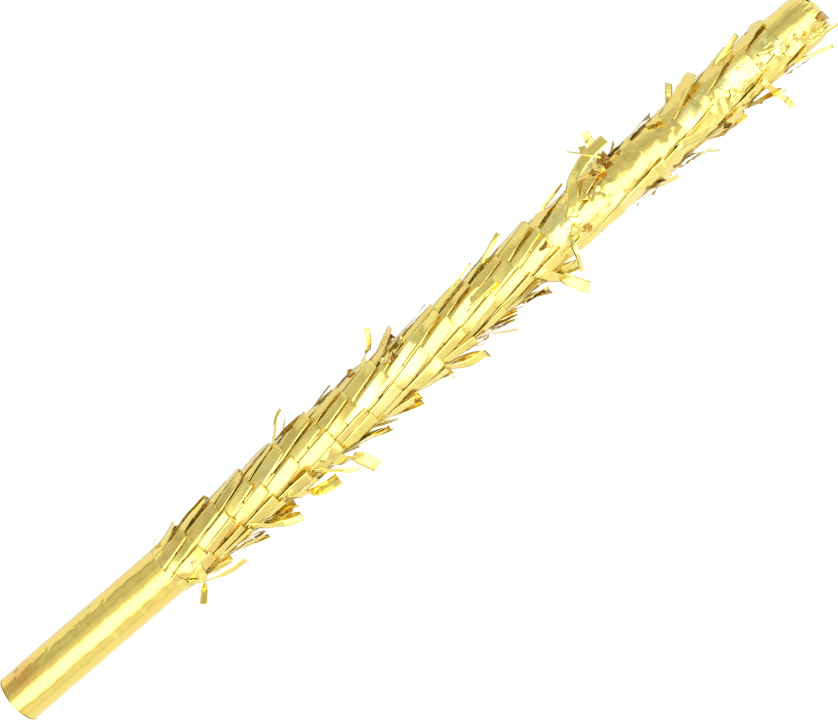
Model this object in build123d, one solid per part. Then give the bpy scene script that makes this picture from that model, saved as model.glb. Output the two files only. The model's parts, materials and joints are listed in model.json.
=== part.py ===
from build123d import *
import math
import os

# Foil-fringed party stick, lying along +X with its butt at the origin and +Z up.
# All sizes are in millimetres. Angles around the stick run from +Y towards +Z.

TUBE_RADIUS = 17.5
TUBE_WALL = 2.5
TUBE_END = 700.0
PLUG_DEPTH = 14.0
TIP_HEIGHT = 12.4
KNUCKLE = 8.0

HANDLE_RADIUS = 18.0
HANDLE_LENGTH = 134.0
HANDLE_EDGE = 0.4
FOLD_REACH = 8.0
DISC_RADIUS = 16.0
DISC_THICKNESS = 0.5

WRAP_RADIUS = 17.75
CAP_THICKNESS = 0.5
CAP_SKIRT = 26.0
PEEP_HOLE_RADIUS = 1.3
PEEP_HOLE_DIRECTION = (7.5, 8.5, 12.0)

FOIL = 0.3
ROOT_RADIUS = 17.9
FREE_RADIUS = 23.7
BAND_WIDTH = 44.0
HEADER_WIDTH = 11.0
STRIPS_PER_TURN = 16
SLIT_AT_HEADER = 0.4
SLIT_AT_EDGE = 2.4

SLIT_OVERRUN = 6.0
SLIT_DEPTH = 12.0

FIRST_BAND_WIDTH = 22.0
FIRST_HEADER_WIDTH = 6.0
LOWER_EDGE = 157.0
LOWER_PITCH = 28.1
LOWER_TURNS = 11
UPPER_EDGE = 492.0
UPPER_PITCH = 30.5
UPPER_TURNS = 6

STRIP_THICKNESS = 0.35
CREASE_RADIUS = 0.4
CREASE_HEIGHT = 24.9

# Strips that stand away from the band: distance along the stick and angle around it of the
# crease, the angle that the strip makes with +X, its length and its width.
LOOSE_STRIPS = [
    (148.0, 160.0, 128.0, 15.0, 6.5),
    (154.0, 188.0, 24.0, 25.0, 5.0),
    (210.0, 174.0, 36.0, 19.0, 5.0),
    (243.0, 186.0, 27.0, 21.0, 6.0),
    (266.0, 168.0, 52.0, 15.0, 3.5),
    (279.0, 196.0, 62.0, 23.0, 9.0),
    (374.0, 178.0, 28.0, 19.0, 6.0),
    (465.0, 184.0, 68.0, 24.0, 9.0),
    (655.0, 176.0, 72.0, 22.0, 6.0),
    (251.0, 4.0, 58.0, 16.0, 7.0),
    (334.0, -6.0, 44.0, 20.0, 8.0),
    (516.0, 24.0, 24.0, 30.0, 8.0),
    (537.0, 2.0, 80.0, 21.0, 7.0),
    (528.0, -22.0, 52.0, 20.0, 5.0),
    (412.0, 82.0, 30.0, 16.0, 6.0),
    (590.0, 118.0, 26.0, 16.0, 6.0),
    (305.0, 222.0, 40.0, 16.0, 6.0),
    (600.0, -38.0, 46.0, 16.0, 6.0),
]

# Local Z lies along the stick, and local X points to +Y.
ALONG_STICK = Plane(origin=(0, 0, 0), x_dir=(0, 1, 0), z_dir=(1, 0, 0))


def revolved(points):
    """A solid of revolution about the stick, from points given as (distance along, radius)."""
    outline = Polyline([(r, 0, x) for x, r in points], close=True)
    return ALONG_STICK * revolve(make_face(outline), Axis.Z, 360)


def around_point(x, radius, angle):
    """The point at this distance along the stick, radius and angle."""
    turn = math.radians(angle)
    return Vector(x, radius * math.cos(turn), radius * math.sin(turn))


def core_tube():
    """The wound paper tube that carries everything."""
    start = DISC_THICKNESS + HANDLE_RADIUS - TUBE_RADIUS
    bore = TUBE_RADIUS - TUBE_WALL
    return revolved([(start, bore), (start, TUBE_RADIUS), (TUBE_END, TUBE_RADIUS), (TUBE_END, bore)])


def butt_plug():
    """Paper plug pressed into the tube at the handle end."""
    start = DISC_THICKNESS + HANDLE_RADIUS - TUBE_RADIUS
    bore = TUBE_RADIUS - TUBE_WALL
    return revolved([(start, 0), (start, bore), (start + PLUG_DEPTH, bore), (start + PLUG_DEPTH, 0)])


def revolved_dome(radius, height, rest):
    """A solid of revolution that ends in a rounded head at the far end of the tube: a knuckle and a
    crown, tangent to each other. The rest of its outline is points (distance along, radius), from
    the head's foot back round to the stick's axis."""
    knuckle_x = radius - KNUCKLE
    crown = (knuckle_x**2 + height**2 - KNUCKLE**2) / (2 * (height - KNUCKLE))
    split = math.degrees(math.atan2(crown - height, knuckle_x))
    side = Plane.XZ * Pos(0, TUBE_END)
    corner_arc = side * CenterArc((knuckle_x, 0), KNUCKLE, 0, split)
    crown_arc = side * CenterArc((0, height - crown), crown, split, 90 - split)
    foot = (radius, 0, TUBE_END)
    top = (0, 0, TUBE_END + height)
    others = Polyline([foot] + [(r, 0, x) for x, r in rest] + [top])
    return ALONG_STICK * revolve(make_face([corner_arc, crown_arc, others]), Axis.Z, 360)


def tip_plug():
    """Plug in the far end, whose rounded head shapes the tip."""
    bore = TUBE_RADIUS - TUBE_WALL
    stem_start = TUBE_END - PLUG_DEPTH
    stem = [(TUBE_END, bore), (stem_start, bore), (stem_start, 0)]
    return revolved_dome(TUBE_RADIUS, TIP_HEIGHT, stem)


def handle_wrap():
    """Smooth foil over the bare handle, folded in over the butt edge."""
    fold = DISC_THICKNESS
    tube_start = fold + HANDLE_RADIUS - TUBE_RADIUS
    inner = HANDLE_RADIUS - FOLD_REACH
    return revolved(
        [
            (fold, inner),
            (fold, HANDLE_RADIUS - HANDLE_EDGE),
            (fold + HANDLE_EDGE, HANDLE_RADIUS),
            (HANDLE_LENGTH, HANDLE_RADIUS),
            (HANDLE_LENGTH, TUBE_RADIUS),
            (tube_start, TUBE_RADIUS),
            (tube_start, inner),
        ]
    )


def butt_disc():
    """Foil disc that closes the butt over the folded edge."""
    return revolved([(0, 0), (0, DISC_RADIUS), (DISC_THICKNESS, DISC_RADIUS), (DISC_THICKNESS, 0)])


def body_wrap():
    """Foil under the fringe, from the handle's foil to the far end of the tube."""
    return revolved(
        [
            (HANDLE_LENGTH, TUBE_RADIUS),
            (HANDLE_LENGTH, WRAP_RADIUS),
            (TUBE_END, WRAP_RADIUS),
            (TUBE_END, TUBE_RADIUS),
        ]
    )


def tip_cap():
    """Gathered foil over the rounded tip, with its skirt on the body foil and one small hole."""
    outer = WRAP_RADIUS + CAP_THICKNESS
    skirt_start = TUBE_END - CAP_SKIRT
    skirt = [(skirt_start, outer), (skirt_start, WRAP_RADIUS), (TUBE_END, WRAP_RADIUS), (TUBE_END, 0)]
    solid = revolved_dome(outer, TIP_HEIGHT + CAP_THICKNESS, skirt)
    core = revolved_dome(TUBE_RADIUS, TIP_HEIGHT, [(TUBE_END - 1, TUBE_RADIUS), (TUBE_END - 1, 0)])
    hole = Cylinder(PEEP_HOLE_RADIUS, 40, align=(Align.CENTER, Align.CENTER, Align.MIN))
    towards_hole = Vector(*PEEP_HOLE_DIRECTION)
    return solid - core - Plane(origin=(TUBE_END, 0, 0), z_dir=towards_hole) * hole


def slits(pitch, turns, width, header):
    """Wedges that part the strips of one turn, wider towards the free edge, leaning with the band."""
    lean = math.degrees(math.atan2(pitch, 2 * math.pi * ROOT_RADIUS))
    run = width - header + SLIT_OVERRUN
    near = SLIT_AT_HEADER / 2
    far = SLIT_AT_EDGE / 2
    outline = Polygon((-near, 0), (near, 0), (far, run), (-far, run), align=None)
    wedge = extrude(outline, amount=SLIT_DEPTH)
    made = []
    count = round(STRIPS_PER_TURN * turns)
    for k in range(1, count):
        share = turns * k / count
        turn = 2 * math.pi * share
        outward = Vector(math.cos(turn), math.sin(turn), 0)
        across = Vector(-math.sin(turn), math.cos(turn), 0)
        root = outward * (ROOT_RADIUS - SLIT_DEPTH / 4) + Vector(0, 0, header + pitch * share)
        made.append(Plane(origin=root, x_dir=across, z_dir=outward) * Rot(0, 0, lean) * wedge)
    return made


def fringe_turn(edge, pitch, turns=1.0, width=BAND_WIDTH, header=HEADER_WIDTH):
    """One turn of the band, wound as a right-handed helix, with its strips parted at the free edge."""
    section = Plane.XZ * make_face(
        Polyline(
            (ROOT_RADIUS, 0),
            (ROOT_RADIUS + FOIL, 0),
            (FREE_RADIUS + FOIL, width),
            (FREE_RADIUS, width),
            close=True,
        )
    )
    path = Pos(0, 0, width / 2) * Helix(pitch=pitch, height=pitch * turns, radius=ROOT_RADIUS)
    band = sweep(section, path=path, is_frenet=True)
    return ALONG_STICK * Pos(0, 0, edge - width) * (band - slits(pitch, turns, width, header))


def loose_strip(x, angle, rise, length, width):
    """A strip bent away from the band at a rolled crease, which is its hinge."""
    turn = math.radians(angle)
    tangent = Vector(0, -math.sin(turn), math.cos(turn))
    outward = Vector(0, math.cos(turn), math.sin(turn))
    slope = math.radians(rise)
    along = Vector(1, 0, 0) * math.cos(slope) + outward * math.sin(slope)
    place = Plane(origin=around_point(x, CREASE_HEIGHT, angle), x_dir=along, z_dir=tangent)
    crease = Cylinder(CREASE_RADIUS, width)
    film = Pos(length / 2, 0, 0) * Box(length, STRIP_THICKNESS, width)
    return place * (crease + film)


PIECES = {
    "core_tube": core_tube(),
    "butt_plug": butt_plug(),
    "tip_plug": tip_plug(),
    "handle_wrap": handle_wrap(),
    "butt_disc": butt_disc(),
    "body_wrap": body_wrap(),
    "tip_cap": tip_cap(),
    "lower_fringe_turn_01": fringe_turn(
        LOWER_EDGE, LOWER_PITCH, width=FIRST_BAND_WIDTH, header=FIRST_HEADER_WIDTH
    ),
}
for k in range(1, LOWER_TURNS + 1):
    name = f"lower_fringe_turn_{k + 1:02d}"
    PIECES[name] = fringe_turn(LOWER_EDGE + LOWER_PITCH * k, LOWER_PITCH)
for k in range(UPPER_TURNS):
    name = f"upper_fringe_turn_{k + 1:02d}"
    PIECES[name] = fringe_turn(UPPER_EDGE + UPPER_PITCH * k, UPPER_PITCH)
PIECES[f"upper_fringe_turn_{UPPER_TURNS + 1:02d}"] = fringe_turn(
    UPPER_EDGE + UPPER_PITCH * UPPER_TURNS, UPPER_PITCH, turns=0.5
)
for k, strip in enumerate(LOOSE_STRIPS):
    PIECES[f"loose_strip_{k + 1:02d}"] = loose_strip(*strip)

os.makedirs("parts", exist_ok=True)
for name, shape in PIECES.items():
    export_step(shape, f"parts/{name}.step")
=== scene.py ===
import json
import math

import bpy
import numpy as np
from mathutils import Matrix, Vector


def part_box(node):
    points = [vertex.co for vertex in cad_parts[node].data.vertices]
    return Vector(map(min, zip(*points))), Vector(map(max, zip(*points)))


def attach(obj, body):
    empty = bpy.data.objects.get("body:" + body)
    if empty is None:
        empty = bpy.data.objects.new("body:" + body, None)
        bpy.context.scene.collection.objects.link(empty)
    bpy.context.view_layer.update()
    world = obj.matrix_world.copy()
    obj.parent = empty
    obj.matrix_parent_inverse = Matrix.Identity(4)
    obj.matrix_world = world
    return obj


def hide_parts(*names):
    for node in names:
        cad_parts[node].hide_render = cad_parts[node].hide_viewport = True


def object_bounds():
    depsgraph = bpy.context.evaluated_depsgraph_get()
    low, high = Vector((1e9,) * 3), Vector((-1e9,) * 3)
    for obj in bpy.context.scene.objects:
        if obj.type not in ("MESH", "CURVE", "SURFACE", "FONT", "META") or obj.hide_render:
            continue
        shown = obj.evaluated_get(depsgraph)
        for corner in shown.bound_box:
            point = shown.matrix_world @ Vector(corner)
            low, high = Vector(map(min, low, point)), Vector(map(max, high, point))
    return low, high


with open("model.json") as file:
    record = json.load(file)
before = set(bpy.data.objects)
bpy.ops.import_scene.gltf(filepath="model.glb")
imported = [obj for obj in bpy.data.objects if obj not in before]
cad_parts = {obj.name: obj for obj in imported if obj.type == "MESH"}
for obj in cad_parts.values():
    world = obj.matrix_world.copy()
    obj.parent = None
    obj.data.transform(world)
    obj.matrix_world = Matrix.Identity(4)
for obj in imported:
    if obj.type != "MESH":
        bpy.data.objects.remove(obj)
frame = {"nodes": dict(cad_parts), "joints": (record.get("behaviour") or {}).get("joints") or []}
cad_low, cad_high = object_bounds()

MM = 0.001
RAD = math.pi / 180

# ---------------------------------------------------------------- what the frame says

LOWER = [f"lower_fringe_turn_{k:02d}" for k in range(1, 13)]
UPPER = [f"upper_fringe_turn_{k:02d}" for k in range(1, 8)]
LOWER_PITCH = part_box(LOWER[2])[0].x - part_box(LOWER[1])[0].x
UPPER_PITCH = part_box(UPPER[2])[0].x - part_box(UPPER[1])[0].x
HANDLE_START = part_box("handle_wrap")[0].x
HANDLE_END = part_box("handle_wrap")[1].x
HANDLE_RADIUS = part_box("handle_wrap")[1].z
WRAP_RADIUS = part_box("body_wrap")[1].z
TUBE_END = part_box("body_wrap")[1].x
CAP_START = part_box("tip_cap")[0].x
CAP_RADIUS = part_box("tip_cap")[1].z
TIP_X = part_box("tip_cap")[1].x
DISC_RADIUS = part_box("butt_disc")[1].z
CREASES = {j["child"]: j for j in frame["joints"]}

# ---------------------------------------------------------------- camera

CAMERA_HEIGHT = 1034.1 * MM
VIEW_WIDTH = 565.65 * MM
VIEW_CENTRE = (TUBE_END / 2 + 4.7 * MM, -3.4 * MM)
ROLL = -40.8 * RAD
camera_data = bpy.data.cameras.new("camera")
camera_data.sensor_width = 36.0
camera_data.lens = camera_data.sensor_width * CAMERA_HEIGHT / VIEW_WIDTH
camera = bpy.data.objects.new("camera", camera_data)
camera.location = (*VIEW_CENTRE, CAMERA_HEIGHT)
camera.rotation_euler = (0.0, 0.0, ROLL)
bpy.context.scene.collection.objects.link(camera)
bpy.context.scene.camera = camera

# ---------------------------------------------------------------- node helpers


def nodes_of(owner):
    owner.use_nodes = True
    tree = owner.node_tree
    tree.nodes.clear()
    return tree


def add(tree, kind, inputs=None, **settings):
    """A node with its settings and its inputs. An input is a value or another node's socket."""
    node = tree.nodes.new(kind)
    for key, value in settings.items():
        setattr(node, key, value)
    for key, value in (inputs or {}).items():
        socket = node.inputs[key]
        if isinstance(value, bpy.types.NodeSocket):
            tree.links.new(value, socket)
        else:
            socket.default_value = value
    return node


def ramp(tree, factor, stops, interpolation="LINEAR"):
    node = add(tree, "ShaderNodeValToRGB", {"Fac": factor})
    node.color_ramp.interpolation = interpolation
    elements = node.color_ramp.elements
    while len(elements) < len(stops):
        elements.new(0.5)
    for element, (place, color) in zip(elements, stops):
        element.position = place
        grey = not hasattr(color, "__len__")
        element.color = (color, color, color, 1.0) if grey else (*color, 1.0)
    return node.outputs["Color"]


def math_node(tree, operation, a, b=0.0):
    return add(tree, "ShaderNodeMath", {0: a, 1: b}, operation=operation).outputs[0]


# ---------------------------------------------------------------- studio

BRIGHTEST = 3.0
LIGHT_STRENGTH = 1.12
# Brightness by angle in degrees: across the stick, from straight up towards +Y, and along it, from
# straight up towards the tip.
ACROSS_LIGHT = [
    (-180, 0.85),
    (-95, 0.95),
    (-80, 1.20),
    (-64, 1.25),
    (-56, 0.95),
    (-50, 0.80),
    (-45, 1.3),
    (-37, 2.6),
    (-28, 3.0),
    (2, 3.0),
    (9, 1.7),
    (18, 0.92),
    (27, 0.74),
    (50, 0.60),
    (66, 0.68),
    (84, 0.84),
    (112, 0.76),
]
ALONG_LIGHT = [(-90, 0.85), (-55, 0.65), (-38, 0.9), (-20, 1.0), (22, 1.0), (38, 0.7), (70, 0.9)]
FLOOR_GAP = 0.4 * MM


def studio():
    """White surroundings, with the soft boxes, walls and clutter that the film mirrors."""
    world = bpy.data.worlds.new("studio")
    bpy.context.scene.world = world
    tree = nodes_of(world)
    towards = add(tree, "ShaderNodeTexCoord").outputs["Generated"]
    parts = add(tree, "ShaderNodeSeparateXYZ", {0: towards})
    x, y, z = (parts.outputs[k] for k in "XYZ")
    bands = []
    for side, stops, brightest in ((y, ACROSS_LIGHT, BRIGHTEST), (x, ALONG_LIGHT, 1.0)):
        angle = math_node(tree, "ARCTAN2", side, z)
        turn = add(tree, "ShaderNodeMath", {0: angle, 1: 1 / (2 * math.pi), 2: 0.5}, operation="MULTIPLY_ADD")
        places = [((degrees + 180) / 360, value / brightest) for degrees, value in stops]
        bands.append(ramp(tree, turn.outputs[0], places))
    clutter = add(tree, "ShaderNodeTexVoronoi", {"Vector": towards, "Scale": 4.5})
    patches = ramp(tree, clutter.outputs["Color"], [(0.2, 0.72), (0.8, 1.0)])
    light = bands[0]
    for band in (bands[1], patches):
        sockets = {"Factor": 1.0, 6: light, 7: band}
        mixed = add(tree, "ShaderNodeMix", sockets, data_type="RGBA", blend_type="MULTIPLY")
        light = mixed.outputs[2]
    lit = add(tree, "ShaderNodeBackground", {"Color": light, "Strength": BRIGHTEST * LIGHT_STRENGTH})
    plain = add(tree, "ShaderNodeBackground", {"Color": (1, 1, 1, 1), "Strength": 1.0})
    path = add(tree, "ShaderNodeLightPath")
    seen = path.outputs["Is Camera Ray"]
    mixed = add(tree, "ShaderNodeMixShader", {0: seen, 1: lit.outputs[0], 2: plain.outputs[0]})
    add(tree, "ShaderNodeOutputWorld", {"Surface": mixed.outputs[0]})


def floor():
    """A plain pale floor just under the stick. It looks brighter to the camera than it lights."""
    half = 4.0
    height = cad_low.z - FLOOR_GAP
    mesh = bpy.data.meshes.new("floor")
    corners = [(-half, -half, height), (half, -half, height), (half, half, height), (-half, half, height)]
    mesh.from_pydata(corners, [], [(0, 1, 2, 3)])
    made = bpy.data.objects.new("floor", mesh)
    bpy.context.scene.collection.objects.link(made)
    material = bpy.data.materials.new("floor_paper")
    tree = nodes_of(material)
    paper = add(tree, "ShaderNodeBsdfDiffuse", {"Color": (0.55, 0.55, 0.55, 1)})
    glow = add(tree, "ShaderNodeEmission", {"Color": (1, 1, 1, 1), "Strength": 0.7})
    dim = add(tree, "ShaderNodeEmission", {"Color": (1, 1, 1, 1), "Strength": 0.15})
    path = add(tree, "ShaderNodeLightPath")
    seen = path.outputs["Is Camera Ray"]
    light = add(tree, "ShaderNodeMixShader", {0: seen, 1: dim.outputs[0], 2: glow.outputs[0]})
    both = add(tree, "ShaderNodeAddShader", {0: paper.outputs[0], 1: light.outputs[0]})
    add(tree, "ShaderNodeOutputMaterial", {"Surface": both.outputs[0]})
    mesh.materials.append(material)


studio()
floor()
bpy.context.scene.view_settings.view_transform = "Standard"

# ---------------------------------------------------------------- materials

PALE_GOLD = (0.95, 0.79, 0.20)
DEEP_GOLD = (0.88, 0.68, 0.18)
WASHED_GOLD = (0.96, 0.845, 0.31)
WARM_GOLD = (0.93, 0.67, 0.13)
WARM_PALE_GOLD = (0.95, 0.76, 0.18)
# The next two colours are painted shade: a dark bronze-brown that stands in for the shade and gold-on-gold
# interreflection inside folds, in gaps and under lifted strips.
PAINTED_SHADE_BROWN = (0.32, 0.165, 0.015)
PAINTED_SHADE_PALE_BROWN = (0.60, 0.36, 0.06)
WORN_GOLD = (0.96, 0.84, 0.42, 1.0)
GRAIN_SIZE = 1.5 * MM
GRAIN_DEPTH = 0.05 * MM
CRINKLE_DEPTH = 0.6 * MM
STAIN_PLACE = (16 * MM, 11 * MM, 14 * MM)
STAIN_UNEVEN = 12 * MM
STAIN_SCALE = 30.0
STAIN_COLOR = (0.86, 0.50, 0.11, 1.0)


def film_material(name, crinkle, crinkle_size, roughness, stained=False, tones=None):
    """Metallised film: bright, with fine embossed grain, crinkles of this strength and size, dulled
    creases, and a roughness between two limits. A stained film has a brown stain near the butt."""
    material = bpy.data.materials.new(name)
    tree = nodes_of(material)
    place = add(tree, "ShaderNodeTexCoord").outputs["Object"]
    island = add(tree, "ShaderNodeNewGeometry").outputs["Random Per Island"]
    cloudy = add(tree, "ShaderNodeTexNoise", {"Vector": place, "Scale": 38.0, "Detail": 3.0})
    tone = math_node(tree, "MULTIPLY", cloudy.outputs["Fac"], 0.5)
    tone = math_node(tree, "ADD", tone, math_node(tree, "MULTIPLY", island, 0.5))
    color = ramp(tree, tone, tones or [(0.25, DEEP_GOLD), (0.62, PALE_GOLD)])
    creased = add(
        tree,
        "ShaderNodeTexNoise",
        {"Vector": place, "Scale": 1 / crinkle_size, "Detail": 4.0, "Roughness": 0.55, "Distortion": 0.6},
        noise_type="RIDGED_MULTIFRACTAL",
    )
    ridges = ramp(tree, creased.outputs["Fac"], [(0.55, 0.0), (0.95, 1.0)])
    share = math_node(tree, "MULTIPLY", ridges, 0.3)
    worn = add(tree, "ShaderNodeMix", {"Factor": share, 6: color, 7: WORN_GOLD}, data_type="RGBA")
    color = worn.outputs[2]
    if stained:
        away = add(tree, "ShaderNodeVectorMath", {0: place, 1: STAIN_PLACE}, operation="DISTANCE")
        uneven = math_node(tree, "MULTIPLY", cloudy.outputs["Fac"], STAIN_UNEVEN)
        reach = math_node(tree, "ADD", away.outputs["Value"], uneven)
        stain = ramp(tree, math_node(tree, "MULTIPLY", reach, STAIN_SCALE), [(0.25, 0.92), (0.75, 0.0)])
        tinted = add(tree, "ShaderNodeMix", {"Factor": stain, 6: color, 7: STAIN_COLOR}, data_type="RGBA")
        color = tinted.outputs[2]
    rough = add(
        tree,
        "ShaderNodeMapRange",
        {"Value": cloudy.outputs["Fac"], "To Min": roughness[0], "To Max": roughness[1]},
    )
    rough = math_node(tree, "ADD", rough.outputs[0], math_node(tree, "MULTIPLY", ridges, 0.12))
    grain = add(
        tree,
        "ShaderNodeTexVoronoi",
        {"Vector": place, "Scale": 1 / GRAIN_SIZE, "Randomness": 0.5},
        distance="CHEBYCHEV",
    )
    fine = add(
        tree,
        "ShaderNodeBump",
        {"Strength": 0.4, "Distance": GRAIN_DEPTH, "Height": grain.outputs["Distance"]},
    )
    bump = add(
        tree,
        "ShaderNodeBump",
        {
            "Strength": crinkle,
            "Distance": CRINKLE_DEPTH,
            "Height": creased.outputs["Fac"],
            "Normal": fine.outputs[0],
        },
    )
    shader = add(
        tree,
        "ShaderNodeBsdfPrincipled",
        {
            "Base Color": color,
            "Metallic": 0.93,
            "Roughness": rough,
            "Coat Weight": 0.4,
            "Coat Roughness": 0.08,
            "Normal": bump.outputs[0],
        },
    )
    add(tree, "ShaderNodeOutputMaterial", {"Surface": shader.outputs[0]})
    return material


def board_material():
    """Wound paper board: brown, with fibres and the lines of its winding."""
    material = bpy.data.materials.new("paper_board")
    tree = nodes_of(material)
    place = add(tree, "ShaderNodeTexCoord").outputs["Object"]
    stretched = add(tree, "ShaderNodeMapping", {"Vector": place, "Scale": (60.0, 900.0, 900.0)})
    fibres = add(tree, "ShaderNodeTexNoise", {"Vector": stretched.outputs[0], "Scale": 1.0, "Detail": 6.0})
    wave = {"Vector": place, "Scale": 9.0, "Distortion": 1.5, "Detail": 2.0}
    winding = add(tree, "ShaderNodeTexWave", wave)
    fibre_tone = math_node(tree, "MULTIPLY", fibres.outputs["Fac"], 0.8)
    winding_tone = math_node(tree, "MULTIPLY", winding.outputs["Fac"], 0.2)
    tone = math_node(tree, "ADD", fibre_tone, winding_tone)
    color = ramp(tree, tone, [(0.3, (0.22, 0.15, 0.09)), (0.7, (0.5, 0.38, 0.25))])
    relief = {"Strength": 0.4, "Distance": 0.2 * MM, "Height": fibres.outputs["Fac"]}
    bump = add(tree, "ShaderNodeBump", relief)
    rough = add(tree, "ShaderNodeMapRange", {"Value": fibres.outputs["Fac"], "To Min": 0.7, "To Max": 0.95})
    shader = add(
        tree,
        "ShaderNodeBsdfPrincipled",
        {"Base Color": color, "Roughness": rough.outputs[0], "Normal": bump.outputs[0]},
    )
    add(tree, "ShaderNodeOutputMaterial", {"Surface": shader.outputs[0]})
    return material


HANDLE_TONES = [(0.25, WARM_GOLD), (0.62, WARM_PALE_GOLD)]
HANDLE_FILM = film_material("handle_film", 0.08, 40 * MM, (0.08, 0.16), stained=True, tones=HANDLE_TONES)
WRAP_FILM = film_material("wrap_film", 0.15, 16 * MM, (0.10, 0.20))
FRINGE_TONES = [(0.25, DEEP_GOLD), (0.58, PALE_GOLD), (0.66, PALE_GOLD), (0.74, WASHED_GOLD)]
FRINGE_FILM = film_material("fringe_film", 0.16, 16 * MM, (0.12, 0.24), tones=FRINGE_TONES)
CRUSHED_FILM = film_material("crushed_film", 0.7, 8 * MM, (0.14, 0.28), tones=FRINGE_TONES)
# A film coloured dark bronze as painted shade, for the folds, gaps and strip undersides that lie in shade.
PAINTED_SHADE_TONES = [(0.25, PAINTED_SHADE_BROWN), (0.62, PAINTED_SHADE_PALE_BROWN)]
PAINTED_SHADE_FILM = film_material("painted_shade_bronze_film", 0.7, 6 * MM, (0.18, 0.34), tones=PAINTED_SHADE_TONES)
BOARD = board_material()

# ---------------------------------------------------------------- mesh helpers

FILM_THICKNESS = 0.10 * MM
# How far a loose strip laps over its root at the crease.
LAP = 0.8 * MM
AHEAD = np.array([1.0, 0.0, 0.0])
UP = np.array([0.0, 0.0, 1.0])


def make_piece(name, verts, faces, material, body, nodes=(), thickness=FILM_THICKNESS, offset=0.0):
    """A smooth mesh piece that rides on a body and stands for these CAD nodes."""
    mesh = bpy.data.meshes.new(name)
    mesh.from_pydata([tuple(v) for v in verts], [], faces)
    mesh.polygons.foreach_set("use_smooth", [True] * len(mesh.polygons))
    mesh.materials.append(material)
    mesh.update()
    made = bpy.data.objects.new(name, mesh)
    bpy.context.scene.collection.objects.link(made)
    if thickness:
        solid = made.modifiers.new("film", "SOLIDIFY")
        solid.thickness = thickness
        solid.offset = offset
    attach(made, body)
    if nodes:
        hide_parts(*nodes)
    return made


def grid_faces(rows, columns, start=0, closed=False):
    """Quads of a grid whose vertices run row by row. A closed one joins its last column to its first."""
    made = []
    for r in range(rows - 1):
        for c in range(columns if closed else columns - 1):
            d = (c + 1) % columns
            a = start + r * columns
            made.append((a + c, a + d, a + columns + d, a + columns + c))
    return made


def smooth_step(t):
    t = np.clip(t, 0.0, 1.0)
    return t * t * (3 - 2 * t)


def on_stick(x, radius, angle):
    """Points at these distances along the stick, radii and angles (radians, from +Y towards +Z)."""
    x, radius, angle = np.broadcast_arrays(x, radius, angle)
    return np.stack([x, radius * np.cos(angle), radius * np.sin(angle)], axis=-1)


def waves(rng, count, low, high):
    """A seeded smooth field over distance along the stick and angle: a sum of waves, with
    wavelengths from low to high."""
    table = []
    for _ in range(count):
        length = math.exp(rng.uniform(math.log(low), math.log(high)))
        turns = int(rng.integers(-5, 6))
        table.append((2 * math.pi / length, turns, rng.uniform(0, 2 * math.pi), rng.uniform(0.4, 1.0)))
    scale = sum(w for _, _, _, w in table) ** 0.5

    def field(x, angle):
        return sum(w * np.sin(k * x + n * angle + p) for k, n, p, w in table) / scale

    return field


# ---------------------------------------------------------------- fringe strips

ACROSS = 6
DOWN = 15
FILM_GAP = 0.35 * MM
SLIT_SHARE = 0.05
# A strip much wider than this stays curved round the stick, and a narrow one goes flat.
WIDE_STRIP = 14 * MM
LARGEST_DENT = 22 * MM
DENT_WAVES = 7
FIRST_TURN_FLARE = 0.65
# What is left of a turn, in radians, that is too little for another strip.
LEAST_STEP = 0.02


class Strips:
    """Collects strips and patches of film as one mesh."""

    def __init__(self):
        self.verts = []
        self.faces = []

    def add(self, points):
        rows, columns = points.shape[:2]
        self.faces += grid_faces(rows, columns, len(self.verts))
        self.verts += [tuple(p) for p in points.reshape(-1, 3)]


def folds(rng, count, length, width, bend):
    """Creases across a strip: each bends what lies beyond its line a little, up or down."""
    lines = []
    for _ in range(count):
        lines.append((rng.uniform(0.35, 0.9) * length, rng.uniform(-0.9, 0.9), rng.normal(0, bend)))

    def height(u, v):
        total = np.zeros(np.broadcast(u, v).shape)
        for start, tilt, angle in lines:
            beyond = (u - start) * math.cos(tilt) + v * math.sin(tilt)
            total += np.maximum(beyond, 0.0) * math.tan(angle)
        return total

    return height


def crumple(rng, amount, sharp=0.0, smallest=5 * MM):
    """Dents a few millimetres to a few centimetres across, soft or with sharp creases between them."""
    table = []
    for _ in range(DENT_WAVES):
        size = math.exp(rng.uniform(math.log(smallest), math.log(LARGEST_DENT)))
        heading = rng.uniform(0, math.pi)
        table.append((2 * math.pi / size, heading, rng.uniform(0, 2 * math.pi), (size / LARGEST_DENT) ** 0.8))

    def height(u, v):
        total = 0.0
        for k, h, phase, weight in table:
            wave = np.sin(k * (u * math.cos(h) + v * math.sin(h)) + phase)
            total = total + weight * ((1 - sharp) * wave + sharp * np.arcsin(wave) * 2 / math.pi)
        return amount * total

    return height


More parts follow.
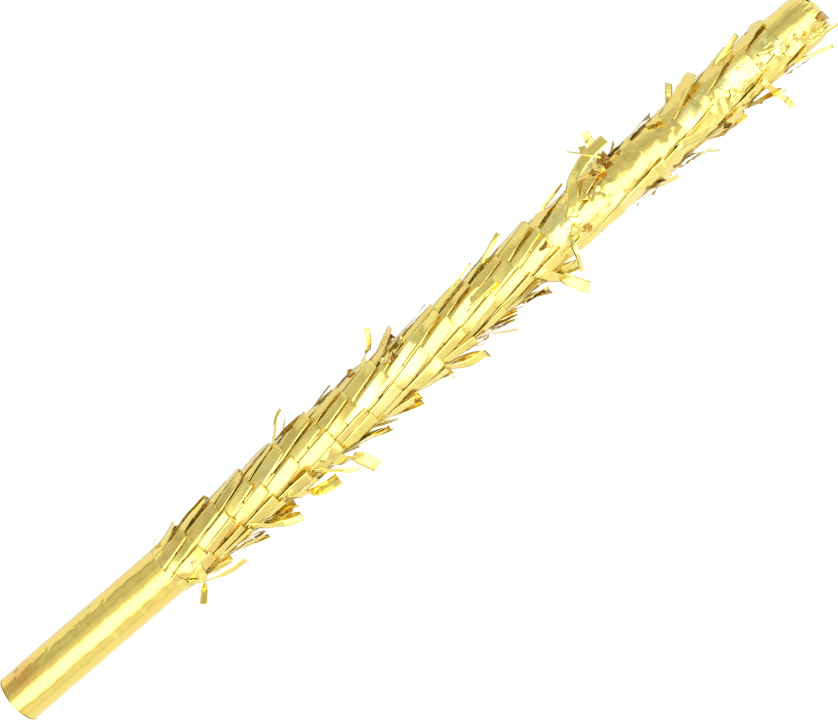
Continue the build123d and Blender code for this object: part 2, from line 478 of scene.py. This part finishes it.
def strip_points(
    root_x, angle, width, length, header, lean, flare, curl, roll, root_radius, shape, sway=0.0, fine=1
):
    """A film strip from its root on the stick to its free end. It hugs the stick along the header,
    then lifts off at the flare angle, curls, rolls about its own length and sways sideways."""
    u = np.linspace(0.0, length, DOWN * fine)
    free = np.maximum(u - header, 0.0)
    share = free / max(length - header, 1e-9)
    slope = flare + curl * share**1.5
    step = np.diff(free, prepend=0.0)
    lift = np.cumsum(np.sin(slope) * step)
    forward = np.cumsum(np.where(free > 0, np.cos(slope) * step, np.diff(u, prepend=0.0)))
    side = -np.sin(lean) * forward + sway * share**2 * length
    radius = root_radius + lift
    x = root_x + np.cos(lean) * forward
    middle = angle + side / radius
    v = np.linspace(-0.5, 0.5, ACROSS * fine)[None, :] * width * (1 - SLIT_SHARE * share[:, None])
    bumps = shape(u[:, None], v) * smooth_step(share * 1.5)[:, None]
    wrapped = on_stick(x[:, None], radius[:, None] + bumps, middle[:, None] + v / radius[:, None])
    centre = on_stick(x, radius, middle)
    outward = on_stick(0.0, 1.0, middle)
    tangent = on_stick(0.0, 1.0, middle + math.pi / 2)
    turn = roll * smooth_step(share * 1.4)
    flat_across = np.cos(turn)[:, None] * tangent + np.sin(turn)[:, None] * outward
    flat_out = np.cos(turn)[:, None] * outward - np.sin(turn)[:, None] * tangent
    flat = centre[:, None] + v[..., None] * flat_across[:, None] + bumps[..., None] * flat_out[:, None]
    stays_round = float(np.clip(width / WIDE_STRIP - 0.7, 0, 1))
    mix = (smooth_step(share * 2.2) * (1 - stays_round))[:, None, None]
    return wrapped * (1 - mix) + flat * mix


def near(degrees, target, reach):
    """1 at the target angle, falling smoothly to 0 at reach degrees from it."""
    gap = abs((degrees - target + 180) % 360 - 180)
    return float(smooth_step(1 - gap / reach))


# Where around the stick the fringe changes: the angle in degrees, and how far from it that reaches.
LOWER_SPLAYED = (203, 50)
LOWER_NARROW = (190, 90)
LOWER_FLAT = (-30, 60)
UPPER_SPLAYED = (196, 46)
UPPER_WIDE = (80, 105)
# Where the upper garland's strips become cut, and then narrower.
UNCUT_UNTIL = TUBE_END - 150 * MM
HALF_CUT_UNTIL = TUBE_END - 90 * MM
UNCUT_SIDE = (40, 165)


def crisp(rng, degrees, x):
    """Strips of the lower garland: separate, flat and square, narrower and splayed on the -Y side."""
    splayed = near(degrees, *LOWER_SPLAYED)
    flare = 5.0 - 1.6 * near(degrees, *LOWER_FLAT) + 8.0 * splayed
    facing = rng.choice([-1, 1]) * rng.uniform(12, 60)
    return {
        "width": rng.uniform(6.2, 11.8) * MM * (1 - 0.33 * near(degrees, *LOWER_NARROW)),
        "flare": max(flare + rng.normal(0, 0.8 + 2.6 * splayed), 3.2),
        "curl": rng.normal(0.5, 1.5) + splayed * rng.normal(9, 7),
        "roll": rng.normal(0, 9.0) + facing * splayed,
        "sway": rng.normal(0, 0.015 + 0.05 * splayed),
        "dents": (0.10 + 0.14 * splayed) * MM,
        "sharp": 0.2,
        "creases": int(rng.random() < 0.35),
        "bend": 7.0,
        "fine": 1,
    }


def slack(rng, degrees, x):
    """Strips of the upper garland: wide, half uncut, wound flat and crumpled."""
    splayed = near(degrees, *UPPER_SPLAYED)
    sheet = near(degrees, *UPPER_WIDE)
    uncut = x < UNCUT_UNTIL and UNCUT_SIDE[0] < degrees < UNCUT_SIDE[1]
    wide = 2.0 if uncut else 1.0 + (0.5 if x < HALF_CUT_UNTIL else 0.1) * sheet
    facing = rng.choice([-1, 1]) * rng.uniform(10, 50)
    return {
        "width": rng.uniform(8.5, 15.0) * MM * wide * (1 - 0.45 * splayed),
        "flare": max(2.6 + 7.5 * splayed + rng.normal(0, 0.4 + 2.0 * splayed), 1.8),
        "curl": rng.normal(-0.5, 1.0) + splayed * rng.normal(0, 7),
        "roll": rng.normal(0, 3.0) + facing * splayed,
        "sway": rng.normal(0, 0.03 + 0.03 * splayed),
        "dents": 0.34 * MM,
        "sharp": 0.8,
        "creases": int(rng.integers(1, 4)),
        "bend": 6.0,
        "fine": 3,
    }


def lay_strip(rng, made, style, root_x, middle, step, lean, length, header, root_radius):
    """Adds one strip of this style to the mesh, rooted here."""
    width = step * root_radius / math.cos(lean)
    bends = folds(rng, style["creases"], length, width, style["bend"] * RAD)
    dents = crumple(rng, style["dents"], style["sharp"])
    made.add(
        strip_points(
            root_x,
            middle,
            width,
            length,
            header,
            lean + rng.normal(0, 1.2) * RAD,
            style["flare"] * RAD,
            style["curl"] * RAD,
            style["roll"] * RAD,
            root_radius,
            lambda u, v: bends(u, v) + dents(u, v),
            sway=style["sway"],
            fine=style["fine"],
        )
    )


def fringe(name, pitch, turns, length, header, seed, style_of, material, first=False):
    """One turn of the band: strips side by side along the helix. The first turn starts square to
    the stick, so its strips grow as it winds."""
    rng = np.random.default_rng(seed)
    made = Strips()
    start_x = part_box(name)[0].x
    root_radius = WRAP_RADIUS + FILM_GAP
    lean = math.atan2(pitch, 2 * math.pi * root_radius)
    angle = 0.0
    end = 2 * math.pi * turns
    while angle < end - LEAST_STEP:
        x = start_x + pitch * angle / (2 * math.pi)
        style = style_of(rng, math.degrees(angle) % 360, x)
        step = min(style["width"] * math.cos(lean) / root_radius, end - angle)
        middle = angle + step / 2
        angle += step
        advance = pitch * middle / (2 * math.pi)
        if first:
            style["flare"] *= FIRST_TURN_FLARE
        this_length = length + (advance if first else 0.0) + rng.normal(0, 0.9) * MM
        this_root = start_x + (0.0 if first else advance)
        lay_strip(rng, made, style, this_root, middle, step, lean, this_length, header, root_radius)
    if first:
        begin_band(rng, made, start_x, lean)
    piece = make_piece(name + "_film", made.verts, made.faces, material, "stick", (name,))
    return piece


BAND_END_FROM = 88 * RAD
BAND_END_TO = 200 * RAD


def begin_band(rng, made, start_x, lean):
    """The short strips where the band's end is stuck down, cut through up to its edge. They grow as
    the band winds."""
    root_radius = WRAP_RADIUS + 3 * FILM_GAP
    style = {"flare": 2.0, "curl": 3.0, "sway": 0.0, "dents": 0.03 * MM, "sharp": 0.0}
    style.update(creases=0, bend=0.0, fine=1)
    angle = BAND_END_FROM
    while angle < BAND_END_TO:
        step = rng.uniform(4.5, 7.5) * MM / HANDLE_RADIUS
        style["roll"] = rng.normal(0, 3)
        length = 4.0 * MM + 3.2 * MM * (angle - 1.5) + rng.normal(0, 0.3) * MM
        middle = angle + step / 2
        lay_strip(rng, made, style, start_x, middle, step * 0.97, lean, length, 0.5 * MM, root_radius)
        angle += step


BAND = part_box(LOWER[3])[1].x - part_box(LOWER[3])[0].x - LOWER_PITCH
FIRST_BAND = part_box(LOWER[0])[1].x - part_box(LOWER[0])[0].x - LOWER_PITCH
HEADER = 10 * MM
FIRST_HEADER = 4 * MM
LOWER_SEED = 100
UPPER_SEED = 300

fringe(LOWER[0], LOWER_PITCH, 1.0, FIRST_BAND, FIRST_HEADER, LOWER_SEED, crisp, FRINGE_FILM, first=True)
for k, name in enumerate(LOWER[1:], 1):
    fringe(name, LOWER_PITCH, 1.0, BAND, HEADER, LOWER_SEED + k, crisp, FRINGE_FILM)
for k, name in enumerate(UPPER):
    turns = 0.5 if name == UPPER[-1] else 1.0
    fringe(name, UPPER_PITCH, turns, BAND, HEADER, UPPER_SEED + k, slack, CRUSHED_FILM)

# ---------------------------------------------------------------- smooth film


def tube(name, start, end, radius, material, nodes, seed, uneven, rows, columns, crushed=None):
    """Film wrapped round the stick, faintly uneven."""
    rng = np.random.default_rng(seed)
    broad = waves(rng, 12, 12 * MM, 70 * MM)
    small = waves(rng, 16, 5 * MM, 12 * MM)
    x = np.linspace(start, end, rows)[:, None]
    angle = np.linspace(0, 2 * math.pi, columns, endpoint=False)[None, :]
    r = radius + uneven * (0.8 * broad(x, angle) + 0.2 * small(x, angle)) - 2 * uneven
    if crushed is not None:
        r = r + crushed(x, angle)
    verts = on_stick(x, r, angle).reshape(-1, 3)
    faces = grid_faces(rows, columns, closed=True)
    piece = make_piece(name, verts, faces, material, "stick", nodes, offset=-1.0)
    return piece


HANDLE_CREASES = 46


def handle_creases(x, angle):
    """Fine slanting wrinkles near the butt, on the +Y side of the top."""
    rng = np.random.default_rng(77)
    total = 0.0
    for _ in range(HANDLE_CREASES):
        middle_x = cad_low.x + 4 * MM + 90 * MM * rng.random() ** 1.3
        middle_angle = rng.uniform(0.25, 0.95)
        tilt = rng.uniform(-1.0, 1.0)
        length = rng.uniform(3, 12) * MM
        over = (angle - middle_angle) * HANDLE_RADIUS
        along = (x - middle_x) * math.cos(tilt) + over * math.sin(tilt)
        across = over * math.cos(tilt) - (x - middle_x) * math.sin(tilt)
        depth = rng.uniform(-0.20, 0.06) * MM
        total = total + depth * np.exp(-((along / length) ** 2) - (across / (0.9 * MM)) ** 2)
    return total


tube(
    "handle_film_wrap",
    HANDLE_START + 0.6 * MM,
    HANDLE_END + 2 * MM,
    HANDLE_RADIUS,
    HANDLE_FILM,
    ("handle_wrap",),
    seed=5,
    uneven=0.12 * MM,
    rows=230,
    columns=160,
    crushed=handle_creases,
)
tube(
    "body_film_wrap",
    HANDLE_END,
    TUBE_END,
    WRAP_RADIUS,
    WRAP_FILM,
    ("body_wrap",),
    seed=6,
    uneven=0.03 * MM,
    rows=260,
    columns=96,
)

# ---------------------------------------------------------------- ends

HOLE_TOWARDS = np.array([7.5, 8.5, 12.0])
HOLE_RADIUS = 1.3 * MM


def tip():
    """Film gathered over the rounded end in uneven pleats, with one small hole."""
    rng = np.random.default_rng(9)
    rows, columns = 110, 240
    s = np.linspace(0, 1, rows)[:, None]
    angle = np.linspace(0, 2 * math.pi, columns, endpoint=False)[None, :]
    skirt = 0.45
    dome = np.clip((s - skirt) / (1 - skirt), 0, 1) * math.pi / 2
    along_skirt = CAP_START + (TUBE_END - CAP_START) * s / skirt
    x = np.where(s < skirt, along_skirt, TUBE_END + (TIP_X - TUBE_END) * np.sin(dome))
    r = (CAP_RADIUS - 0.1 * MM) * np.maximum(np.cos(dome), 0.0) ** 0.8
    pleats = 0.0
    for n in (3, 5, 8, 11, 14, 19, 26):
        wave = np.sin(n * angle + rng.uniform(0, 6.28) + 1.2 * np.sin(2.5 * dome + n))
        pleats = pleats + rng.uniform(0.4, 1.0) * (1.6 * np.abs(wave) - 1.0)
    grow = smooth_step((s - 0.2) / 0.6)
    dented = waves(rng, 14, 5 * MM, 30 * MM)(x, angle)
    r = r + (0.20 * pleats * np.cos(dome) ** 0.5 - 0.35) * grow * MM + 0.10 * dented * np.cos(dome) * MM
    r = np.maximum(r, 0.12 * MM)
    points = on_stick(x + 0 * angle, r, angle + 0 * x)
    faces = grid_faces(rows, columns, closed=True)
    verts = points.reshape(-1, 3)
    towards = HOLE_TOWARDS / np.linalg.norm(HOLE_TOWARDS)
    centres = verts[np.array(faces)].mean(axis=1) - AHEAD * TUBE_END
    ahead = centres @ towards
    off = np.linalg.norm(centres - ahead[:, None] * towards, axis=1)
    kept = [face for face, o, h in zip(faces, off, ahead) if o > HOLE_RADIUS or h < 0]
    nodes = ("tip_cap",)
    piece = make_piece("tip_film_cap", verts, kept, WRAP_FILM, "stick", nodes, offset=-1.0)


# The folds of film at the tip, in mm: where each starts (past the tube's end, Y, Z), its length,
# half its width, its depth, and how far it is open, as a share.
TIP_OPENING = [(3.0, -6.2, 17.8, 9.5, 4.4, 3.0, 1.0)]
TIP_RUFFLES = [
    (3.0, -12.0, 13.8, 8.5, 3.0, 2.4, 0.8),
    (3.0, 0.0, 17.6, 8.0, 2.6, 1.6, 0.7),
    (-4.0, -13.5, 12.0, 11.0, 2.4, 1.8, 0.8),
]


def tip_fold(made, rng, past, y, z, length, half, depth, wide):
    """One trough of crumpled film that widens and turns down towards the tip."""
    u = np.linspace(0, 1, 14)[:, None]
    b = np.linspace(-1, 1, 14)[None, :]
    dents = crumple(rng, 0.5 * MM, sharp=0.9, smallest=2.5 * MM)
    opened = (0.35 + 0.65 * u) * wide
    px = TUBE_END + past * MM + length * MM * u * (1 - 0.12 * b**2)
    py = y * MM + half * MM * b * opened - 0.6 * MM * u
    pz = z * MM - 8.5 * MM * u**2 + depth * MM * (np.abs(b) ** 1.6 - 0.35) * opened
    bumps = dents(px, py)
    made.add(np.stack([px + 0 * b, py + 0.5 * bumps, pz + bumps], axis=-1))


def tip_tuck():
    """The open fold in the film at the tip, its inside coloured dark bronze as painted shade, and the ruffled
    edges round it.
    """
    rng = np.random.default_rng(31)
    opening = Strips()
    tuck = Strips()
    for made, places in ((opening, TIP_OPENING), (tuck, TIP_RUFFLES)):
        for place in places:
            tip_fold(made, rng, *place)
    make_piece("tip_film_tuck", tuck.verts, tuck.faces, CRUSHED_FILM, "stick")
    # The opening's film is dark bronze: painted shade inside the fold.
    make_piece("tip_film_opening", opening.verts, opening.faces, PAINTED_SHADE_FILM, "stick")


def butt():
    """Film folded in over the butt edge in small pleats. The disc that closes it is the CAD's own."""
    rng = np.random.default_rng(12)
    rows, columns = 16, 144
    angle = np.linspace(0, 2 * math.pi, columns, endpoint=False)[None, :]
    s = np.linspace(0, 1, rows)[:, None]
    bend = np.clip(s / 0.3, 0, 1) * math.pi / 2
    corner = 0.7 * MM
    x = HANDLE_START + corner * (1 - np.sin(bend))
    r = HANDLE_RADIUS - 0.05 * MM - corner * (1 - np.cos(bend))
    inner = DISC_RADIUS - 4 * MM
    inward = np.clip((s - 0.3) / 0.7, 0, 1)
    r = r - (r[-1] - inner) * inward
    pleats = sum(rng.uniform(0.3, 1) * np.sin(n * angle + rng.uniform(0, 6.28)) for n in (19, 27, 34))
    x = x + (0.08 * pleats + 0.1) * MM * smooth_step(inward * 3)
    verts = on_stick(x, r + 0 * angle, angle + 0 * s).reshape(-1, 3)
    faces = grid_faces(rows, columns, closed=True)
    make_piece("butt_film_fold", verts, faces, HANDLE_FILM, "stick")


tip()
tip_tuck()
butt()

CAD_MATERIALS = {"butt_disc": HANDLE_FILM, "core_tube": BOARD, "butt_plug": BOARD, "tip_plug": BOARD}
for node, material in CAD_MATERIALS.items():
    data = frame["nodes"][node].data
    data.materials.clear()
    data.materials.append(material)

# ---------------------------------------------------------------- loose strips


# Where a loose strip's root comes out: its height over the wrap, how far it runs on out of sight and
# how deep it sinks there, and the angle at which it leaves the band.
ROOT_HEIGHT = 2.6 * MM
ROOT_HIDDEN = 8 * MM
ROOT_SUNK = 1.6 * MM
LEAVING = 0.1


def loose(
    body,
    width,
    length,
    bend=0.0,
    twist=0.0,
    turned=0.0,
    sway=0.0,
    crush=0.0,
    taper=1.0,
    reach=7.0,
    from_angle=None,
):
    """A strip that stands away from the band at its crease, and the stretch of it below the crease,
    which comes out from under the band. Bend curls it outwards, or inwards when it is negative, and
    an inward curl stops at its lower limit with the far end level with the crease. Twist turns its
    face soon after the crease and turned goes on turning it, sway leans it sideways, crush crumples
    it, reach is how far (mm) its root runs back along the stick, and from_angle is where around the
    stick (degrees) its root starts."""
    joint = CREASES[body]
    origin = np.array(joint["pos_m"])
    tangent = np.array(joint["axis"])
    rise = (max(-bend, 0) / 2 - joint["range_deg"][0]) * RAD
    outward = np.array([0.0, origin[1], origin[2]])
    outward /= np.linalg.norm(outward)
    rng = np.random.default_rng(int(body[-2:]))
    rows = 22
    columns = 6
    s = np.linspace(0, 1, rows)
    slope = rise + bend * RAD * s
    step = length / (rows - 1)
    forward = np.concatenate([[0], np.cumsum(np.cos(slope[:-1]) * step)])
    up = np.concatenate([[0], np.cumsum(np.sin(slope[:-1]) * step)])
    aside = sway * length * s**1.5
    lap = LAP * (AHEAD * math.cos(rise) + outward * math.sin(rise))
    centre = origin - lap + forward[:, None] * AHEAD + up[:, None] * outward + aside[:, None] * tangent
    along = np.cos(slope)[:, None] * AHEAD + np.sin(slope)[:, None] * outward
    normal = np.cross(tangent, along)
    first_turn = 0.6 * twist * RAD
    turn = first_turn + 0.4 * twist * RAD * smooth_step(s * 2.6) + turned * RAD * s
    side = np.cos(turn)[:, None] * tangent + np.sin(turn)[:, None] * normal
    face = np.cos(turn)[:, None] * normal - np.sin(turn)[:, None] * tangent
    v = np.linspace(-0.5, 0.5, columns)[None, :] * (width * (1 + (taper - 1) * s))[:, None]
    dents = crumple(rng, (0.07 + crush) * MM, sharp=0.8 if crush else 0.3, smallest=3 * MM)
    bumps = dents((s * length)[:, None], v) * smooth_step(s * 3)[:, None]
    points = centre[:, None] + v[..., None] * side[:, None] + bumps[..., None] * face[:, None]
    material = CRUSHED_FILM if crush else FRINGE_FILM
    node = "loose_" + body
    faces = grid_faces(rows, columns)
    make_piece(node + "_film", points.reshape(-1, 3), faces, material, body, (node,))
    start_angle = math.atan2(origin[2], origin[1]) if from_angle is None else from_angle * RAD
    loose_root(body, origin + lap, side[0], outward, rise, width, reach * MM, start_angle, material)


def loose_root(body, origin, last_side, outward, rise, width, reach, start_angle, material):
    """The stretch of a loose strip between the band and its crease: it leaves the band nearly flat
    and reaches the crease at the angle that the strip stands at."""
    rows = 16
    s = np.linspace(0, 1, rows)[:, None]
    start_radius = WRAP_RADIUS + ROOT_HEIGHT
    start = on_stick(origin[0] - reach, start_radius, start_angle)
    start_out = on_stick(0.0, 1.0, start_angle)
    chord = float(np.linalg.norm(origin - start))
    heading = origin - start
    heading -= start_out * float(heading @ start_out)
    heading /= np.linalg.norm(heading)
    leaving = (heading * math.cos(LEAVING) + start_out * math.sin(LEAVING)) * chord
    arriving = (AHEAD * math.cos(rise) + outward * math.sin(rise)) * chord
    centre = (
        start * (2 * s**3 - 3 * s**2 + 1)
        + leaving * (s**3 - 2 * s**2 + s)
        + origin * (-2 * s**3 + 3 * s**2)
        + arriving * (s**3 - s**2)
    )
    radii = np.linalg.norm(centre[:, 1:], axis=1)
    needed = start_radius + (np.linalg.norm(origin[1:]) - start_radius) * s[:, 0]
    lift = np.maximum(needed / radii, 1.0) ** (s[:, 0] < 1)
    centre[:, 1:] *= lift[:, None]
    hidden = start - heading * ROOT_HIDDEN - start_out * ROOT_SUNK
    centre = np.concatenate([hidden[None, :], centre])
    outs = centre * np.array([0.0, 1.0, 1.0])
    outs /= np.linalg.norm(outs, axis=1)[:, None]
    steps = np.gradient(centre, axis=0)
    side = np.cross(steps, outs)
    side /= np.linalg.norm(side, axis=1)[:, None]
    side *= np.sign(side[-1] @ last_side)
    blend = np.concatenate([[0.0], smooth_step((s[:, 0] - 0.3) / 0.7)])[:, None]
    side = side * (1 - blend) + last_side * blend
    side /= np.linalg.norm(side, axis=1)[:, None]
    v = np.linspace(-0.5, 0.5, 5)[None, :] * width
    points = centre[:, None] + v[..., None] * side[:, None]
    faces = grid_faces(rows + 1, 5)
    make_piece("root_of_" + body, points.reshape(-1, 3), faces, material, "stick")


loose("strip_01", 6.5 * MM, 14 * MM, bend=6, twist=72, reach=-5, from_angle=132)
loose("strip_02", 5.0 * MM, 25 * MM, bend=-28, twist=52, reach=9, from_angle=160)
loose("strip_03", 5.0 * MM, 19 * MM, bend=-24, twist=66, reach=9, from_angle=150)
loose("strip_04", 8.0 * MM, 20 * MM, bend=-28, twist=-66, reach=9, from_angle=155, taper=1.2)
loose("strip_05", 3.5 * MM, 15 * MM, bend=-34, twist=62, reach=8, from_angle=150)
loose("strip_06", 9.5 * MM, 19 * MM, bend=10, twist=84, reach=11, from_angle=138)
loose("strip_07", 6.0 * MM, 19 * MM, bend=-34, twist=60, reach=9, from_angle=160)
loose("strip_08", 8.5 * MM, 20 * MM, bend=-14, twist=78, turned=20, crush=0.25, reach=9, from_angle=145)
loose("strip_09", 4.5 * MM, 15 * MM, bend=22, twist=78, crush=0.1, reach=4, from_angle=150)
loose("strip_10", 3.0 * MM, 15 * MM, bend=-50, twist=-55, reach=6, from_angle=20)
loose("strip_11", 4.0 * MM, 15 * MM, bend=26, twist=62, crush=0.1, reach=12, from_angle=38)
loose("strip_12", 8.5 * MM, 30 * MM, bend=-26, twist=-40, sway=0.08, reach=18, from_angle=68)
loose("strip_13", 6.5 * MM, 16 * MM, bend=4, twist=72, turned=10, crush=0.3, reach=6, from_angle=30)
loose("strip_14", 5.5 * MM, 15 * MM, bend=22, twist=62, crush=0.1, reach=6, from_angle=10)
loose("strip_15", 6.0 * MM, 16 * MM, bend=-16, turned=14)
loose("strip_16", 6.0 * MM, 16 * MM, bend=-18, turned=-14)
loose("strip_17", 6.0 * MM, 16 * MM, bend=-14, turned=30)
loose("strip_18", 6.0 * MM, 16 * MM, bend=8, twist=40)

# ---------------------------------------------------------------- crumpled ends and slivers

# Where strips end in a crumple: distance (mm) past the handle's end, angle around the stick, length
# and width (mm), how far (mm) the crumple stands off the wrap, and its tilt in degrees.
CRUMPLES = [
    (6, 14, 5, 5, 3.0, 30),
    (204, 58, 9, 6, 4.0, 20),
    (219, 50, 8, 5, 4.4, 40),
    (355, 108, 9, 6, 3.6, 25),
    (381, 84, 10, 8, 4.2, 18),
    (372, 70, 8, 5, 4.0, -15),
    (390, 48, 12, 8, 5.0, 30),
    (443, 40, 12, 8, 2.6, 12),
    (484, 92, 12, 7, 3.0, 16),
    (493, 112, 10, 7, 3.2, -14),
    (506, 74, 9, 6, 3.0, 14),
    (516, 104, 12, 5, 2.8, 14),
    (528, 84, 12, 4, 2.6, 12),
    (534, 100, 10, 6, 3.0, 16),
    (546, 108, 11, 4, 2.6, 14),
    (554, 118, 9, 6, 2.6, 18),
    (563, 128, 8, 5, 2.4, 30),
]
# The same for crumples coloured dark bronze as painted shade: the shade and interreflection in folds, in gaps
# and under lifted strips.
PAINTED_SHADE_CRUMPLES = [
    (123, 17, 9, 6, 6.2, 35),
    (179, 10, 6, 4, 4.6, 25),
    (212, 32, 13, 8, 5.0, 25),
    (209, 66, 6, 4, 3.6, 30),
    (332, 92, 8, 4, 3.6, 18),
    (362, 122, 8, 4, 3.4, -14),
    (399, 36, 12, 8, 4.0, 20),
    (410, 26, 9, 5, 4.0, 30),
    (392, 47, 10, 6, 5.4, 20),
    (59, 174, 16, 5, 4.6, 12),
    (88, 178, 15, 4, 4.8, 14),
    (197, 176, 18, 5, 4.8, 12),
    (223, 172, 16, 4, 4.6, 14),
    (260, 166, 14, 4, 4.2, 10),
    (278, 174, 18, 5, 4.6, 14),
    (307, 176, 18, 5, 4.8, 12),
    (412, 170, 26, 6, 3.0, 4),
    (445, 172, 22, 6, 3.6, 6),
    (476, 170, 24, 5, 3.8, 5),
    (507, 172, 22, 5, 3.8, 5),
    (542, 170, 20, 5, 3.0, 4),
]
# Thin strips that stand away and have no joint, in mm: where each starts (past the handle's end, Y,
# Z) and ends, and its width.
SLIVERS = [
    ((400.0, 20.5, 13.0), (386.0, 37.5, 12.0), 1.6),
    ((348.0, -13.0, 18.0), (342.5, -30.0, 6.0), 4.0),
    ((270.0, 19.5, 10.0), (289.0, 23.2, 10.0), 1.5),
    ((297.0, 19.0, 11.0), (316.0, 26.2, 12.0), 3.6),
    ((502.0, 17.0, 10.0), (523.0, 22.5, 12.0), 4.0),
    ((350.0, 19.5, 8.0), (370.0, 23.5, 10.0), 2.6),
    ((544.0, -18.0, 7.0), (570.0, -25.5, 3.0), 2.6),
    ((556.0, -14.0, 12.0), (582.0, -16.5, 7.0), 2.2),
]
RUFFLE = 1.1 / MM


def crumple_patch(made, rng, past, degrees, length, width, height, tilt):
    """A small patch of crushed film, tilted up towards the tip."""
    rows = 14
    columns = 10
    angle = degrees * RAD
    outward = on_stick(0.0, 1.0, angle)
    tangent = on_stick(0.0, 1.0, angle + math.pi / 2)
    heading = rng.uniform(-0.5, 0.5)
    along = AHEAD * math.cos(heading) + tangent * math.sin(heading)
    across = tangent * math.cos(heading) - AHEAD * math.sin(heading)
    lean = tilt * RAD
    slope = along * math.cos(lean) + outward * math.sin(lean)
    normal = outward * math.cos(lean) - along * math.sin(lean)
    dents = crumple(rng, 0.8 * MM, sharp=0.9, smallest=2.5 * MM)
    u = (np.linspace(-0.5, 0.5, rows) * length * MM)[:, None]
    v = (np.linspace(-0.5, 0.5, columns) * width * MM)[None, :]
    v = v * (0.9 + 1.1 * u / (length * MM) + 0.2 * np.sin(u * RUFFLE + rng.uniform(0, 6)))
    bumps = dents(u, v)
    centre = AHEAD * (HANDLE_END + past * MM) + outward * (WRAP_RADIUS + height * MM)
    points = centre + u[..., None] * slope + v[..., None] * across + bumps[..., None] * normal
    made.add(points)


def sliver(made, rng, start, end, width):
    """A thin strip between two points, bowed and half turned, its face mostly up."""
    rows = 14
    s = np.linspace(0, 1, rows)[:, None]
    start = AHEAD * HANDLE_END + np.array(start) * MM
    end = AHEAD * HANDLE_END + np.array(end) * MM
    run = end - start
    bow = UP * rng.uniform(0.05, 0.14) * np.linalg.norm(run)
    centre = start + run * s + bow * 4 * s * (1 - s)
    hidden = start - run * 0.25 - np.array([0.0, start[1], start[2]]) * 0.22
    centre = np.concatenate([hidden[None, :], centre])
    across = np.cross(run / np.linalg.norm(run), UP)
    across /= np.linalg.norm(across)
    turn = rng.uniform(-0.5, 0.1) + rng.uniform(-0.8, 0.8) * np.linspace(0, 1, rows + 1)[:, None]
    side = across * np.cos(turn) + UP * np.sin(turn)
    v = (np.linspace(-0.5, 0.5, 4) * width * MM)[None, :, None]
    made.add(centre[:, None] + v * side[:, None])


def odds_and_ends():
    """The crumpled ends, the crumples coloured dark bronze as painted shade, and the slivers, as one piece
    each.
    """
    rng = np.random.default_rng(2024)
    crumpled = Strips()
    for place in CRUMPLES:
        crumple_patch(crumpled, rng, *place)
    make_piece("crumpled_ends", crumpled.verts, crumpled.faces, CRUSHED_FILM, "stick")
    # These crumples use the dark bronze film: painted shade.
    turned = Strips()
    for place in PAINTED_SHADE_CRUMPLES:
        crumple_patch(turned, rng, *place)
    make_piece("painted_shade_ends", turned.verts, turned.faces, PAINTED_SHADE_FILM, "stick")
    thin = Strips()
    for start, end, width in SLIVERS:
        sliver(thin, rng, start, end, width)
    make_piece("stray_slivers", thin.verts, thin.faces, FRINGE_FILM, "stick")


odds_and_ends()
